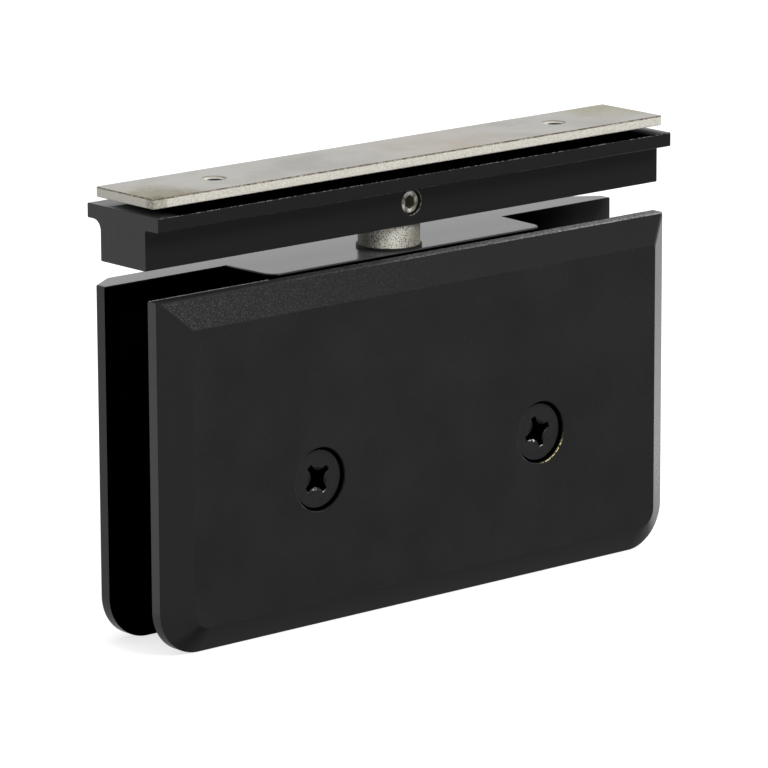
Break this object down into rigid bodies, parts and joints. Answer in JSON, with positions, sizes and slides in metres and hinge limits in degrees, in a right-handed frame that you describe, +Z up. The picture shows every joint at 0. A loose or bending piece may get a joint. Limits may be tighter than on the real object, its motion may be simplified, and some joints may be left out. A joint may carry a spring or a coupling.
{
  "type": "glass door pivot hinge",
  "caption": "Header-mounted pivot hinge for a frameless glass door: bevelled black clamp plates turn on a pin under a T-profile bar with a stainless nut plate.",
  "frame": {"origin": "on the pivot pin's axis, level with the bottom edges of the two clamp plates, which is the centre of the bounding box's base", "axes": "+X along the plates and the bar, +Y from the cover plate to the rear plate, +Z up along the pin towards the header"},
  "size_m": [0.131, 0.0254, 0.0884],
  "materials": {
    "black_coat": "matt black powder coat on cast brass",
    "bar_black": "matt black anodised aluminium",
    "mill_stainless": "mill-finish stainless strip",
    "pin_steel": "fine blasted stainless",
    "bright_steel": "zinc-plated steel",
    "black_screw": "black plated steel",
    "gasket_black": "black gasket sheet",
    "bronze": "sintered bronze",
    "black_nylon": "black nylon",
    "spring_steel": "bright spring wire"
  },
  "bodies": {
    "header_side": {"header_bar": "bar_black", "nut_plate": "mill_stainless", "header_screw_left": "bright_steel", "header_screw_right": "bright_steel", "pivot_pin": "pin_steel", "pin_set_screw": "bright_steel"},
    "door_side": {"rear_body": "black_coat", "cover_plate": "black_coat", "cover_screw_left": "black_screw", "cover_screw_right": "black_screw", "front_gasket": "gasket_black", "rear_gasket": "gasket_black", "thrust_washer": "black_nylon", "upper_bush": "bronze", "lower_bush": "bronze", "spring_left": "spring_steel", "spring_right": "spring_steel", "spring_plug_left": "black_screw", "spring_plug_right": "black_screw"},
    "left_plunger": {"plunger_left": "pin_steel"},
    "right_plunger": {"plunger_right": "pin_steel"}
  },
  "joints": [
    {"name": "door_swing", "type": "hinge", "parent": "header_side", "child": "door_side", "pos_m": [0, 0, 0.07], "axis": [0, 0, 1], "range_deg": [-90, 90]},
    {"name": "left_plunger_slide", "type": "slide", "parent": "door_side", "child": "left_plunger", "axis": [1, 0, 0], "range_m": [0, 0.00062]},
    {"name": "right_plunger_slide", "type": "slide", "parent": "door_side", "child": "right_plunger", "axis": [-1, 0, 0], "range_m": [0, 0.00062]}
  ]
}
